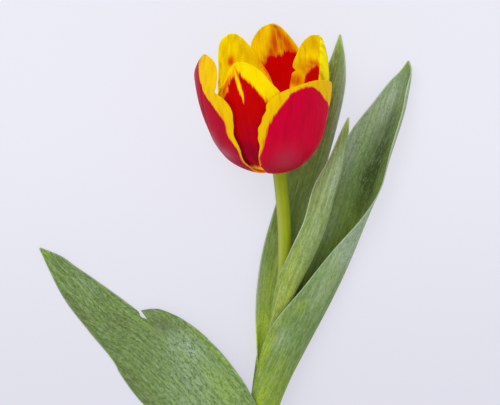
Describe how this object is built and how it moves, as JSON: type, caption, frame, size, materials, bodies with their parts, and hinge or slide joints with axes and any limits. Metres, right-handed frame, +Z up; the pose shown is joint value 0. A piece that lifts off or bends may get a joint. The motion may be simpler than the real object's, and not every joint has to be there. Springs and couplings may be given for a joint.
{
  "type": "cut single tulip",
  "caption": "Cut tulip lying flat, with a bicoloured smooth-petalled cup on a round stem and long clasping leaves.",
  "frame": {"origin": "on the surface that the flower lies on, under the middle of its bounding box", "axes": "+Y along the stem from its cut end to the flower, +Z up from the surface, +X towards the large leaf's side"},
  "size_m": [0.1673, 0.2602, 0.0612],
  "materials": {
    "stem": "smooth yellow-green stem with a faint waxy bloom",
    "leaf": "grey-green with a waxy bloom and fine parallel veins",
    "tepal_outer": "silky crimson with a golden-yellow margin",
    "tepal_inner": "silky golden yellow with a red flame",
    "pistil": "pale yellow-green, the lobes of its top velvety",
    "filament": "smooth, dark olive to black",
    "anther": "dull purple-black, powdery with pollen"
  },
  "bodies": {
    "root": {"stem": "stem", "leaf_lowest": "leaf", "leaf_large": "leaf", "leaf_small": "leaf", "leaf_tall": "leaf", "tepal_outer_front_right": "tepal_outer", "tepal_outer_back": "tepal_outer", "tepal_outer_left": "tepal_outer", "tepal_inner_front": "tepal_inner", "tepal_inner_left": "tepal_inner", "tepal_inner_right": "tepal_inner", "pistil": "pistil", "filament_1": "filament", "anther_1": "anther", "filament_2": "filament", "anther_2": "anther", "filament_3": "filament", "anther_3": "anther", "filament_4": "filament", "anther_4": "anther", "filament_5": "filament", "anther_5": "anther", "filament_6": "filament", "anther_6": "anther"}
  },
  "joints": []
}
